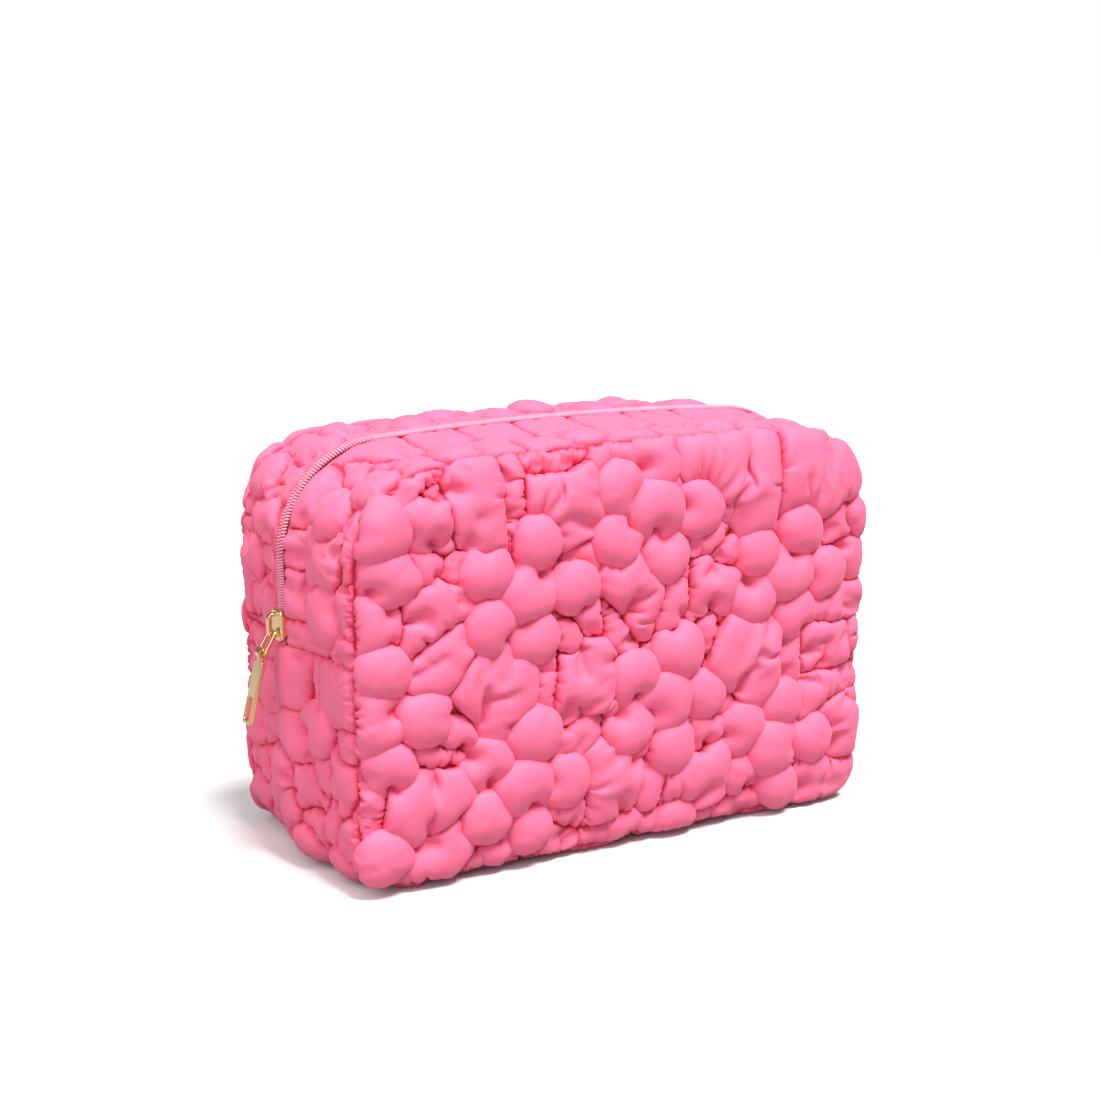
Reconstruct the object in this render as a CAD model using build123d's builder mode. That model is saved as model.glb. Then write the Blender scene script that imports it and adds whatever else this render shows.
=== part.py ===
"""A quilted makeup bag: two padded panels joined by a padded gusset, with a zip over the top.

Millimetres. The front faces -Y, the zip's slider is on the left at -X, and +Z is up.
The origin is at the middle of the base, on the surface that the bag stands on.
Each wall has an outer skin, wadding and a lining. The zip's two sides open like a mouth:
above the fold line the walls belong to the front flap and the rear flap.
"""

from build123d import *
import math
import os

os.makedirs("parts", exist_ok=True)

# The bag's upright outline, measured at the seams between the panels and the gusset
WIDTH = 228.0
DEPTH = 97.0
SEAM_LOW = 4.0  # height of the bottom seam above the floor
SHOULDER = 154.0  # height of the seam where the rounded top corners would meet the sides
CROWN = 5.5  # rise of the top between its corners
TOP_RADIUS = 36.0
BOTTOM_RADIUS = 15.0

# Layers, as how far each lets the seam outline out at the sides, top and bottom
SEAM = (0.0, 0.0, 0.0)
PUFF_OUT = (9.0, 6.0, 4.0)
PUFF_IN = (7.0, 4.0, 2.0)
COIL_OUT = (7.8, 5.8, 4.0)
TAPE_OUT = (6.0, 4.0, 4.0)
TAPE_IN = (5.4, 3.4, 4.0)
LINING_OUT = (-2.0, -2.0, -2.0)
LINING_IN = (-2.8, -2.8, -2.8)
BINDING_IN = (-5.0, -5.0, -5.0)

# Thicknesses through the panels, and the gusset's width
SEAM_DEPTH = DEPTH / 2
PANEL_PUFF = 8.0
SKIN = 2.0
LINING = 0.8
BINDING = 2.0
PUFF_ROUND = 3.5

# Heights where the walls are parted
CROSS_SEAM = 87.0  # where the zip gusset is sewn to the bottom gusset
FOLD = 88.0  # where the panels fold when the mouth opens
ZIP_FOLD = 103.0  # where the zip's sides start to part, above the slider
BODY_GAP = 0.3

# Zip
ZIP_EDGE = 5.0  # from the zip's middle to the gusset's folded edge
COIL_NEAR = 0.8
COIL_FAR = 3.2

# Slider
SLIDER_HEIGHT = 95.0  # height of its middle
SLIDER_LENGTH = 12.0
SLIDER_WIDTH = 8.8
PLATE_TOP = (8.1, 9.5)  # from the seam outline to the top plate's two faces
PLATE_BOTTOM = (3.9, 5.1)
FLANGE_LOW = 6.4
FLANGE = 0.9
POST_WIDTH = 1.0
POST_LENGTH = 1.7
PLATE_CORNER = 2.2
CROWN_REACH = 13.2  # from the seam outline to the crown's outer face
CROWN_LENGTH = 9.6
CROWN_WIDTH = 2.4
CROWN_WALL = 1.3
CROWN_CORNER = 2.4
METAL_ROUND = 0.4  # rounding of the crown's and the tab's edges

# Pull
PIN_OUT = 10.9  # from the seam outline to the pin that the link turns on
PIN_X = -(WIDTH / 2 + PIN_OUT)
PIN_HEIGHT = 92.6
LINK_LEAN = 32.0
LINK_REACH = 8.9  # between the middles of the link's two end bars
LINK_WIDTH = 7.0
LINK_BAR = 1.4
LINK_CORNER = 1.8
LINK_HOLE_CORNER = 0.6
LINK_ROUND = 0.45
TAB_LEAN = 14.5
TAB_LENGTH = 27.5
TAB_WIDTH = 7.2
TAB_THICK = 1.8
TAB_NECK = 3.6
TAB_CORNER = 0.9
NECK_GAP = 1.0  # from the knuckle to the finger plate
KNUCKLE_RADIUS = 2.1
KNUCKLE_HOLE = 1.1
WINDOW_LENGTH = 8.6
WINDOW_WIDTH = 4.2
WINDOW_RIM = 1.7
WINDOW_CORNER = 0.5


def outline(depth, let_out):
    """The bag's upright outline, let out by (side, top, bottom), at a depth in front of the middle."""
    side, top, bottom = let_out
    half, low, shoulder = WIDTH / 2 + side, SEAM_LOW - bottom, SHOULDER + top
    with BuildSketch(Plane.XZ.offset(depth)) as profile:
        with BuildLine():
            Polyline((half, shoulder), (half, low), (-half, low), (-half, shoulder))
            ThreePointArc((-half, shoulder), (0, shoulder + CROWN), (half, shoulder))
        make_face()
        fillet(profile.vertices().group_by(Axis.Y)[-1], TOP_RADIUS + (side + top) / 2)
        fillet(profile.vertices().group_by(Axis.Y)[0], BOTTOM_RADIUS + (side + bottom) / 2)
    return profile.sketch


def band(near, far, outer, inner):
    """A band that goes round the outline, between two depths and between two layers."""
    with BuildPart() as ring:
        extrude(outline(near, outer), amount=far - near)
        extrude(outline(near, inner), amount=far - near, mode=Mode.SUBTRACT)
    return ring


def puffed_band(near, far):
    """The gusset's outer skin: a band with rounded edges, hollow for its wadding."""
    with BuildPart() as skin:
        extrude(outline(near, PUFF_OUT), amount=far - near)
        rims = skin.faces().filter_by(Axis.Y).edges()
        fillet(rims, PUFF_ROUND)
        extrude(outline(near + SKIN, PUFF_IN), amount=far - near - 2 * SKIN, mode=Mode.SUBTRACT)
        extrude(outline(near, LINING_OUT), amount=far - near, mode=Mode.SUBTRACT)
    return skin


def between(whole, low, high):
    """The stretch of a piece between two heights."""
    with BuildPart() as stretch:
        add(whole.part)
        split(bisect_by=Plane.XY.offset(low), keep=Keep.TOP)
        split(bisect_by=Plane.XY.offset(high), keep=Keep.BOTTOM)
    return stretch


def finish(piece, name):
    """Labels a finished piece and writes it to its own file."""
    piece.part.label = name
    export_step(piece.part, f"parts/{name}.step")


def finish_both(piece, name):
    """Writes a piece of the front half, and its mirror image in the rear half."""
    finish(piece, f"front_{name}")
    with BuildPart() as twin:
        mirror(piece.part, about=Plane.XZ)
    finish(twin, f"rear_{name}")


FLOOR = 0.0
HEADROOM = 20.0
ABOVE = SHOULDER + CROWN + HEADROOM
LINING_EDGE = SEAM_DEPTH - LINING - BINDING

# Panels: an outer skin like a shallow tray, its wadding, and a flat lining

with BuildPart() as panel:
    extrude(outline(SEAM_DEPTH, SEAM), amount=PANEL_PUFF)
    face_edges = panel.faces().sort_by(Axis.Y)[0].edges()
    fillet(face_edges, PUFF_ROUND)
    extrude(outline(SEAM_DEPTH, LINING_OUT), amount=PANEL_PUFF - SKIN, mode=Mode.SUBTRACT)

with BuildPart() as panel_wadding:
    extrude(outline(SEAM_DEPTH, LINING_OUT), amount=PANEL_PUFF - SKIN)

with BuildPart() as panel_lining:
    extrude(outline(SEAM_DEPTH - LINING, LINING_OUT), amount=LINING)

seam_binding = band(LINING_EDGE, SEAM_DEPTH - LINING, LINING_OUT, BINDING_IN)

panel_layers = {
    "panel": panel,
    "wadding": panel_wadding,
    "lining": panel_lining,
    "seam_binding": seam_binding,
}
for layer_name, layer in panel_layers.items():
    finish_both(between(layer, FLOOR, FOLD - BODY_GAP), f"{layer_name}_lower")
    finish_both(between(layer, FOLD, ABOVE), f"{layer_name}_upper")

# Bottom gusset: one band up the left side, under the base and up the right side

bottom_layers = {
    "bottom_gusset": puffed_band(-SEAM_DEPTH, SEAM_DEPTH),
    "bottom_gusset_wadding": band(SKIN - SEAM_DEPTH, SEAM_DEPTH - SKIN, PUFF_IN, LINING_OUT),
    "bottom_gusset_lining": band(-LINING_EDGE, LINING_EDGE, LINING_OUT, LINING_IN),
}
for layer_name, layer in bottom_layers.items():
    finish(between(layer, FLOOR, CROSS_SEAM), layer_name)

# Zip gusset: one band each side of the zip, its two ends staying with the base

zip_layers = {
    "zip_gusset": puffed_band(ZIP_EDGE, SEAM_DEPTH),
    "zip_gusset_wadding": band(ZIP_EDGE + SKIN, SEAM_DEPTH - SKIN, PUFF_IN, LINING_OUT),
    "zip_gusset_lining": band(ZIP_EDGE, LINING_EDGE, LINING_OUT, LINING_IN),
    "zip_tape": band(COIL_NEAR, ZIP_EDGE, TAPE_OUT, TAPE_IN),
    "zip_coil": band(COIL_NEAR, COIL_FAR, COIL_OUT, TAPE_OUT),
}
for layer_name, layer in zip_layers.items():
    finish_both(between(layer, CROSS_SEAM, ZIP_FOLD - BODY_GAP), f"{layer_name}_ends")
    finish_both(between(layer, ZIP_FOLD, ABOVE), layer_name)

# Bindings over the cross seams, inside the left and right walls

with BuildPart() as cross_seam_bindings:
    binding_x = WIDTH / 2 + LINING_IN[0] - BINDING / 2
    with Locations((-binding_x, 0, CROSS_SEAM), (binding_x, 0, CROSS_SEAM)):
        Box(BINDING, 2 * LINING_EDGE, BINDING)
finish(cross_seam_bindings, "cross_seam_bindings")


# Slider: two plates, one each side of the zip, with flanges over the coil and a post between

def side_plane(let_out):
    """An upright plane facing +X, outside the left seam outline by let_out."""
    return Plane.YZ.offset(-(WIDTH / 2 + let_out))


with BuildPart() as slider_body:
    for inner, outer in (PLATE_TOP, PLATE_BOTTOM):
        with BuildSketch(side_plane(outer)):
            with Locations((0, SLIDER_HEIGHT)):
                RectangleRounded(SLIDER_WIDTH, SLIDER_LENGTH, PLATE_CORNER)
        extrude(amount=outer - inner)
    outer_edges = slider_body.faces().sort_by(Axis.X)[0].edges()
    fillet(outer_edges, (PLATE_TOP[1] - PLATE_TOP[0]) / 2)
    with BuildSketch(side_plane(PLATE_TOP[0])):
        flange_y = (SLIDER_WIDTH - FLANGE) / 2
        with Locations((-flange_y, SLIDER_HEIGHT), (flange_y, SLIDER_HEIGHT)):
            Rectangle(FLANGE, SLIDER_LENGTH - 2 * PLATE_CORNER)
    extrude(amount=PLATE_TOP[0] - FLANGE_LOW)
    with BuildSketch(side_plane(PLATE_TOP[0])):
        with Locations((0, SLIDER_HEIGHT - (SLIDER_LENGTH - POST_LENGTH) / 2)):
            Rectangle(POST_WIDTH, POST_LENGTH)
    extrude(amount=PLATE_TOP[0] - PLATE_BOTTOM[1])
finish(slider_body, "slider_body")

# Crown: the arch on the slider that the link hangs from

with BuildPart() as slider_crown:
    crown_height = CROWN_REACH - PLATE_TOP[1]
    with BuildSketch(Plane.XZ) as arch:
        crown_base = -(WIDTH / 2 + PLATE_TOP[1])
        with Locations((crown_base - crown_height / 2, SLIDER_HEIGHT)):
            Rectangle(crown_height, CROWN_LENGTH)
        fillet(arch.vertices().group_by(Axis.X)[0], CROWN_CORNER)
        window_height = crown_height - CROWN_WALL
        with Locations((crown_base - window_height / 2, SLIDER_HEIGHT)):
            Rectangle(window_height, CROWN_LENGTH - 2 * CROWN_WALL, mode=Mode.SUBTRACT)
    extrude(amount=CROWN_WIDTH / 2, both=True)
    outer_edges = slider_crown.faces().filter_by(Axis.Y).edges().group_by(Axis.X)[0]
    fillet(outer_edges, METAL_ROUND)
finish(slider_crown, "slider_crown")


def hanging_plane(x, z, lean):
    """A plane across a hanging piece: its y axis runs up the piece, its x axis along +Y."""
    angle = math.radians(lean)
    return Plane(origin=(x, 0, z), x_dir=(0, 1, 0), z_dir=(math.cos(angle), 0, -math.sin(angle)))


# Link: a long ring that hangs from the crown

link_plane = hanging_plane(PIN_X, PIN_HEIGHT, LINK_LEAN)
with BuildPart() as pull_link:
    with BuildSketch(link_plane):
        with Locations((0, -LINK_REACH / 2)):
            RectangleRounded(LINK_WIDTH, LINK_REACH + LINK_BAR, LINK_CORNER)
            RectangleRounded(
                LINK_WIDTH - 2 * LINK_BAR,
                LINK_REACH - LINK_BAR,
                LINK_HOLE_CORNER,
                mode=Mode.SUBTRACT,
            )
    extrude(amount=LINK_BAR / 2, both=True)
    fillet(pull_link.faces().group_by(SortBy.AREA)[-1].edges(), LINK_ROUND)
finish(pull_link, "pull_link")

# Tab: a flat finger plate with a knuckle round the link's lower bar and a window near its end

link_end = link_plane.from_local_coords((0, -LINK_REACH, 0))
tab_plane = hanging_plane(link_end.X, link_end.Z, TAB_LEAN)
with BuildPart() as pull_tab:
    plate_length = TAB_LENGTH - KNUCKLE_RADIUS - NECK_GAP
    with BuildSketch(tab_plane) as plate:
        with Locations((0, -(TAB_LENGTH - plate_length / 2))):
            RectangleRounded(TAB_WIDTH, plate_length, TAB_CORNER)
        with Locations((0, -KNUCKLE_RADIUS - NECK_GAP / 2)):
            Rectangle(TAB_NECK, 2 * KNUCKLE_RADIUS - LINK_BAR)
        with Locations((0, -(TAB_LENGTH - WINDOW_RIM - WINDOW_LENGTH / 2))):
            RectangleRounded(WINDOW_WIDTH, WINDOW_LENGTH, WINDOW_CORNER, mode=Mode.SUBTRACT)
    extrude(amount=TAB_THICK / 2, both=True)
    fillet(pull_tab.faces().group_by(SortBy.AREA)[-1].edges(), METAL_ROUND)
    with BuildSketch(Plane.XZ):
        with Locations((link_end.X, link_end.Z)):
            Circle(KNUCKLE_RADIUS)
    extrude(amount=TAB_NECK / 2, both=True)
    with BuildSketch(Plane.XZ):
        with Locations((link_end.X, link_end.Z)):
            Circle(KNUCKLE_HOLE)
    extrude(amount=TAB_WIDTH, both=True, mode=Mode.SUBTRACT)
finish(pull_tab, "pull_tab")
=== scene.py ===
"""The looks of the quilted makeup bag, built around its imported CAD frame.

The cloth is worked out in millimetres and scaled to metres in its mesh.
Each quilted wall is a grid of cloth with spare length, stitched down along the lines between
its cells and blown up by the wadding's pressure until it gathers along the stitching.
"""

import math

import bpy
import numpy as np
from mathutils import Matrix, Vector


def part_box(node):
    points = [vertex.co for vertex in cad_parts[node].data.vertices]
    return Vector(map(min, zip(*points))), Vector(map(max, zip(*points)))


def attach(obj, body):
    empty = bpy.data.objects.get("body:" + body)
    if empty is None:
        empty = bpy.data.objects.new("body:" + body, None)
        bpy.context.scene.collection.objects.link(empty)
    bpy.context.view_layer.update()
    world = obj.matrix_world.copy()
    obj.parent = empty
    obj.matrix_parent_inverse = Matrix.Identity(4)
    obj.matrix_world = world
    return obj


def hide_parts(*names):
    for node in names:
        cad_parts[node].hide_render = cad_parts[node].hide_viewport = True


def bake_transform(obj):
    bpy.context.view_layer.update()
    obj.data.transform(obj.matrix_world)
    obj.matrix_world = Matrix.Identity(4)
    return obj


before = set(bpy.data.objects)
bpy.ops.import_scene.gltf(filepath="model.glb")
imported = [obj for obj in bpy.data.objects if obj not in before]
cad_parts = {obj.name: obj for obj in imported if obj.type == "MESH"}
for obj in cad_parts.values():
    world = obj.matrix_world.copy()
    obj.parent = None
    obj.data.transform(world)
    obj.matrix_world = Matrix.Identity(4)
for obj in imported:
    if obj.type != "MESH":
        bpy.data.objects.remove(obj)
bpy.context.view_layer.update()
MM = 0.001
HALF_TURN = Matrix.Rotation(math.pi, 4, "Z")  # the rear pieces are made at the front


def box_mm(node):
    """A CAD node's lowest and highest corners, in millimetres."""
    low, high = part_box(node)
    return np.array(low) / MM, np.array(high) / MM


# Sizes from the frame, in millimetres
PANEL_LOW, PANEL_HIGH = box_mm("front_panel_lower")
UPPER_LOW, UPPER_HIGH = box_mm("front_panel_upper")
STRIP_HIGH = box_mm("front_zip_gusset")[1]
TAPE_HIGH = box_mm("front_zip_tape")[1]
HALF = PANEL_HIGH[0]
SEAM_DEPTH = -PANEL_HIGH[1]
SEAM_LOW = PANEL_LOW[2]
LINING_LOW = box_mm("front_lining_lower")[0][2]
CROSS_SEAM = box_mm("front_zip_gusset_ends")[0][2]
ZIP_EDGE = -STRIP_HIGH[1]

# The outline that the panels are sewn round
CROWN = 5.5  # how far its top's middle stands above its shoulders
SHOULDER = UPPER_HIGH[2] - CROWN
TOP_RADIUS = 36.0
BOTTOM_RADIUS = 15.0

# How far the walls stand out between their seams
SIDE_BULGE = TAPE_HIGH[0] - HALF
TOP_BULGE = TAPE_HIGH[2] - SHOULDER - CROWN
FLOOR_BULGE = 1.0
PANEL_BULGE = 3.5
ZIP_COVER = 3.6  # from the zip's middle to the edge of the fabric that covers its tape
ZIP_SLOPE = 14.0  # width beside that edge where the gusset's height changes
GUSSET_SINK = 0.85  # the share of the gussets' bulge that their stitching lacks

# Quilting: flowers of a heart in a ring of petals, single bubbles, and leaves between them
LEAF, PETAL, HEART = 0, 1, 2
RING = 19.3  # from a flower's middle to the middles of its petals
RING_SPREAD = 0.7
PETAL_TURNS = (-1, 77, 147, 212, 285)  # directions of the petals, in degrees
TURN_SPREAD = 4.0
PETAL_RADIUS = 9.1
PETAL_SPREAD = 0.45
PETAL_WIDTHS = (0.92, 1.05)  # as shares of the petal's length
PETAL_TWIST = 3.0  # the most that it is turned, in radians
HEART_RADIUS = 9.9
LEAF_PITCH = 17.0
LEAF_JITTER = 5.0
LEAF_INTRUSION = 3.0  # how far a filler's middle may lie inside a flower or bubble
LEAF_LONG = (12, 17)  # half lengths
LEAF_SHORT = (7, 11)  # half widths
LEAF_VARIETY = 0.16  # how much the leaves' heights differ, as a share
PETAL_EDGE = 6.0  # how fast a petal's claim falls off outside its own circle
LEAF_SHARE = 0.15  # how weakly the leaves claim ground, so that petals stay round

# Creases in a cell: their number (the last is not reached), how far they sway, where they begin, and
# how fast they may rise with the distance from the stitch line
LEAF_CREASES = ((2, 5), 0.4, (1.0, 6.0), (0.2, 0.6))
PETAL_CREASES = ((1, 3), 0.9, (2.0, 6.0), (0.0, 0.3))
CREASE_BEND = 0.6
CREASE_BEND_LENGTH = 20.0
CREASE_WIDTH = 0.9
CREASE_FADE = 3.0  # the length in which a crease begins
CREASE_HOLD = 1.4

# The cloth. A list of three is for leaves, petals and hearts
SPACING = 0.9  # between the cloth's grid points while it is blown up
FINE = 0.62  # and in its finished mesh
ROUNDS = 240
SPARE = np.array([0.44, 0.74, 0.80])  # spare length, as a share
SPARE_POWER = 1.5  # how the spare length falls where the cloth rises less
RISE = np.array([6.5, 9.5, 10.0])  # heights that it starts from
SWELLS = 0.10  # unevenness of the start, as a share
GRAIN = 0.02  # and from point to point
TOP = np.array([8.5, 16.5, 17.5])  # heights at which the wadding no longer pushes
HIGHEST = 1.2  # the most that the cloth may rise, as a share of those
PRESSURE = np.array([0.15, 0.24, 0.26])
DIAGONAL = 0.25  # stiffness of its diagonal links, as a share of the others'
BENDING = 0.022  # stiffness of the cloth and its wadding against small wrinkles
SOFT_LEAST = 0.03  # its share beside the stitch lines
SOFT_EDGE = 0.8  # and how far from them it begins to grow
SOFT_WIDTH = 4.0
OVERHANG = 2.4  # how far a petal may hang over its stitch line
OVERHANG_SHARE = 0.7  # and how far as a share of its height there
WANDER = 2.5  # how far a point may shift sideways beside the stitch line
WANDER_WIDTH = 8.0  # and how much further towards the cell's middle
CLEARANCE = 0.05  # above the base surface, the stitch line and the floor
NUDGE = 0.01  # a small step that shows a direction
HEM = 3.0

# How high the gussets' quilting stands, as shares of the panels'
ZIP_LOFT = 0.48
BOTTOM_LOFT = 0.52
LOFT_AT_ZIP = 0.45
ENDS_FROM = 95.0  # from the top's middle to where the zip gusset's upright ends begin
ENDS_WIDTH = 30.0

# Wrinkles that run in from the stitch lines. A list of three is for leaves, petals and hearts
WRINKLES = ((6.0, 0.4), (3.6, 0.4), (2.5, 0.2))  # widths and shares of the heights
FEWEST_FOLDS = 3  # round a cell
WRINKLE_SWAY = 0.8
WRINKLE_POWER = 0.7  # below 1 the valleys are sharper than the ridges
WRINKLE_LEVEL = 1.2  # how far the valleys lie below the cloth
WRINKLE_DEPTH = np.array([1.0, 1.05, 1.05])
WRINKLE_LENGTH = np.array([5.0, 5.5, 5.5])
WRINKLE_START = 1.2  # from the stitch line to a wrinkle's full height
PATCHES = (0.9, 0.7)  # mean and spread of the wrinkles' strength
PATCH_LIMITS = (0.1, 1.8)
UNDER_PETAL = 1.3  # width of the shaded cloth under a petal's rim
VALLEY_SHADE = 1.5  # how much nearer the stitching a valley counts, so that it gets more painted shade

# Linings, bindings and the zip
SKIN = 2.0  # from the seam line in to the lining
LINING_THICK = 0.8
LINING_HALF = 45.7  # half the linings' width between the bindings
LINING_RISE = (SHOULDER + CROWN - 2 * SKIN - SEAM_LOW) / (SHOULDER + CROWN - SEAM_LOW)
LINING_INSET = 0.45  # from the seam in to the panel's lining
LINING_GRID = (114, 80)
PANEL_SLACK = 0.12  # millimetres
BAND_SLACK = 0.1  # as a share of the lining's thickness
BAND_COLUMNS = 24
PUCKER = 2.4  # from one stitch's pucker to the next
SEAM_PUCKER = 0.12
CROSS_PUCKER = 0.1
SEAM_POINTS = 720
CROSS_POINTS = 180
TAPE_POINTS = 340
COIL_PITCH = 1.05
COIL_HEIGHT = 1.8
COIL_MIDDLE = -1.25
COIL_REACH = 1.2
COIL_SWING = 0.34  # half the coil's rise and fall, as a share of its height
WIRE = 0.42
TURN_POINTS = 10
WIRE_SIDES = 6

# Profiles across the outline: how far out from it, and y
SEAM_BINDING = ((-1.2, -47.5), (-4.4, -47.6), (-4.8, -46.7), (-4.4, -45.9), (-1.2, -46.0))
TAPE_PROFILE = (
    (-5.0, -11.2), (-3.4, -8.0), (-1.9, -5.5), (-1.1, -4.2), (-0.9, -3.2), (-0.5, -2.2), (-0.4, -0.9),
    (-0.9, -0.9), (-1.4, -3.2), (-2.4, -5.5), (-3.9, -8.0), (-5.5, -11.2),
)
# The cross binding's: x, and height above the cross seam
CROSS_BINDING = ((113.4, -0.8), (109.6, -0.9), (109.3, 0.0), (109.6, 0.9), (113.4, 0.8))

# Camera, in metres and degrees, with its lens and sensor in millimetres
TARGET = (0, 0, 0.075)
DISTANCE = 0.808
AZIMUTH = -31.5
ELEVATION = 14.28
LENS = 64.95
SENSOR = 36.0
SHIFT = (-0.00755, 0.0765)

# Studio: lamps by name, strength, angle across and direction that they shine from
LAMPS = (("key", 5.0, 24, (0.12, -0.42, 1.0)), ("fill", 1.8, 70, (-0.85, -0.45, 0.8)))
WORLD_LIGHT = 0.2
FLOOR_LIT = (0.36, 0.36, 0.36, 1)
FLOOR_SEEN = (0.98, 0.98, 0.98, 1)
FLOOR_REACH = 3000  # millimetres


# ---- the bag's outline

def corner_arc(half, shoulder, radius, crown_radius):
    """Middle of a top corner's arc, and the angle where the arc meets the crown."""
    crown_z = shoulder + CROWN - crown_radius
    x = half - radius
    z = crown_z + math.sqrt((crown_radius - radius) ** 2 - x * x)
    return x, z, math.atan2(z - crown_z, x)


def outline_stretches(side, top, bottom):
    """The outline let out by these amounts, anticlockwise from the middle of the base seen from the
    front, as (length, function of a share from 0 to 1 giving x and z) stretches."""
    half, low, shoulder = HALF + side, SEAM_LOW - bottom, SHOULDER + top
    crown_radius = (half * half + CROWN * CROWN) / (2 * CROWN)
    radius = TOP_RADIUS + (side + top) / 2
    foot = BOTTOM_RADIUS + (side + bottom) / 2
    arc_x, arc_z, arc_end = corner_arc(half, shoulder, radius, crown_radius)
    crown_z = shoulder + CROWN - crown_radius

    def base_line(t):
        return (half - foot) * t, low + 0 * t

    def foot_arc(t):
        angle = -math.pi / 2 + t * math.pi / 2
        return half - foot + foot * np.cos(angle), low + foot + foot * np.sin(angle)

    def side_line(t):
        return half + 0 * t, low + foot + (arc_z - low - foot) * t

    def top_arc(t):
        angle = t * arc_end
        return arc_x + radius * np.cos(angle), arc_z + radius * np.sin(angle)

    def crown_arc(t):
        angle = arc_end + (math.pi / 2 - arc_end) * t
        return crown_radius * np.cos(angle), crown_z + crown_radius * np.sin(angle)

    return [
        (half - foot, base_line),
        (foot * math.pi / 2, foot_arc),
        (arc_z - low - foot, side_line),
        (radius * arc_end, top_arc),
        (crown_radius * (math.pi / 2 - arc_end), crown_arc),
    ]


# Arc lengths to the ends of the seam outline's stretches, to the top's middle and the cross seam, and
# from the top's middle to the cross seam
BREAKS = np.concatenate([[0], np.cumsum([length for length, _ in outline_stretches(0, 0, 0)])])
HALF_ROUND = BREAKS[-1]
CROSS_ARC = BREAKS[2] + CROSS_SEAM - SEAM_LOW - BOTTOM_RADIUS
ZIP_REACH = HALF_ROUND - CROSS_ARC


def outline(s, side=0.0, top=0.0, bottom=0.0):
    """x and z on the outline at arc lengths s, from the base's middle up the right side (s > 0) or
    the left side (s < 0) to the top's middle."""
    s = np.asarray(s, float)
    stretches = outline_stretches(side, top, bottom)
    along = np.clip(np.abs(s), 0, HALF_ROUND)
    x, z = np.zeros_like(along), np.zeros_like(along)
    for k, (_, place) in enumerate(stretches):
        inside = (along >= BREAKS[k]) & (along <= BREAKS[k + 1])
        share = (along[inside] - BREAKS[k]) / (BREAKS[k + 1] - BREAKS[k])
        x[inside], z[inside] = place(share)
    return np.where(s < 0, -x, x), z


def from_top(along):
    """Place along the outline from the base's middle, for a place along from the top's middle."""
    return np.where(along >= 0, HALF_ROUND - along, -HALF_ROUND - along)


# ---- curved base surfaces

def smooth(t):
    """Eases from 0 to 1 as t goes from 0 to 1, and stays there."""
    t = np.clip(t, 0, 1)
    return t * t * (3 - 2 * t)


def unit(v):
    """Vectors of length 1 in the same directions."""
    return v / np.maximum(np.linalg.norm(v, axis=-1, keepdims=True), 1e-9)


def grid_normals(p):
    """Unit normals of a grid of points, by the right-hand rule of its two directions."""
    return unit(np.cross(np.gradient(p, axis=0), np.gradient(p, axis=1)))


def finer(p, nu, nv):
    """A grid of points resampled on a finer grid by cubic interpolation."""

    def weights(n_old, n_new):
        """How much each old point counts in each new one."""
        at = np.linspace(0, n_old - 1, n_new)
        k = np.clip(np.floor(at).astype(int), 0, n_old - 2)
        t = at - k
        w = np.zeros((n_new, n_old))
        for step, value in (
            (-1, -0.5 * t + t**2 - 0.5 * t**3),
            (0, 1 - 2.5 * t**2 + 1.5 * t**3),
            (1, 0.5 * t + 2 * t**2 - 1.5 * t**3),
            (2, -0.5 * t**2 + 0.5 * t**3),
        ):
            np.add.at(w, (np.arange(n_new), np.clip(k + step, 0, n_old - 1)), value)
        return w

    along, across = weights(p.shape[0], nu), weights(p.shape[1], nv)
    return np.einsum("jb,ibc->ijc", across, np.einsum("ia,abc->ibc", along, p))


def gentle_noise(shape, rng, scale):
    """Smooth noise over a grid, with features about scale points wide."""
    coarse = rng.standard_normal((shape[0] // scale + 3, shape[1] // scale + 3))
    return finer(coarse[..., None], shape[0], shape[1])[..., 0]


def gusset_surface(s, y):
    """Points of the gusset's stitched surface: arc length s from the top's middle round to the right
    and down, and depth y. It bulges between the seams."""
    from_base = np.where(s >= 0, HALF_ROUND - s, -(HALF_ROUND + s))
    low_x, low_z = outline(from_base)
    out_x, out_z = outline(from_base, SIDE_BULGE, TOP_BULGE, FLOOR_BULGE)
    bulge = 1 - np.abs(y / SEAM_DEPTH)
    bulge = bulge * (1 - GUSSET_SINK * smooth((np.abs(y) - ZIP_COVER) / ZIP_SLOPE))
    return np.stack([low_x + (out_x - low_x) * bulge, y, low_z + (out_z - low_z) * bulge], -1)


def panel_grid(nu, nv):
    """x and z of a grid that fills the outline, from left to right and from base to top, and each
    point's share of the panel's bulge. The grid's corners lie at the middle of the outline's
    rounded corners."""
    foot = BREAKS[1] + (BREAKS[2] - BREAKS[1]) / 2
    head = BREAKS[3] + (BREAKS[4] - BREAKS[3]) / 2
    u, v = np.linspace(0, 1, nu), np.linspace(0, 1, nv)
    base = np.stack(outline(-foot + 2 * foot * u), -1)
    from_base = HALF_ROUND - (HALF_ROUND - head) * np.abs(2 * u - 1)
    lid = np.stack(outline(np.where(u < 0.5, -from_base, from_base)), -1)
    left = np.stack(outline(-(foot + (head - foot) * v)), -1)
    right = np.stack(outline(foot + (head - foot) * v), -1)
    uu, vv = u[:, None, None], v[None, :, None]
    corners = (
        (1 - uu) * (1 - vv) * base[0] + uu * (1 - vv) * base[-1]
        + (1 - uu) * vv * lid[0] + uu * vv * lid[-1]
    )
    edges = (
        (1 - vv) * base[:, None] + vv * lid[:, None]
        + (1 - uu) * left[None] + uu * right[None]
    )
    dome = (1 - (2 * uu - 1) ** 4) * (1 - (2 * vv - 1) ** 4)
    return edges - corners, dome[..., 0]


# ---- quilting pattern

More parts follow.
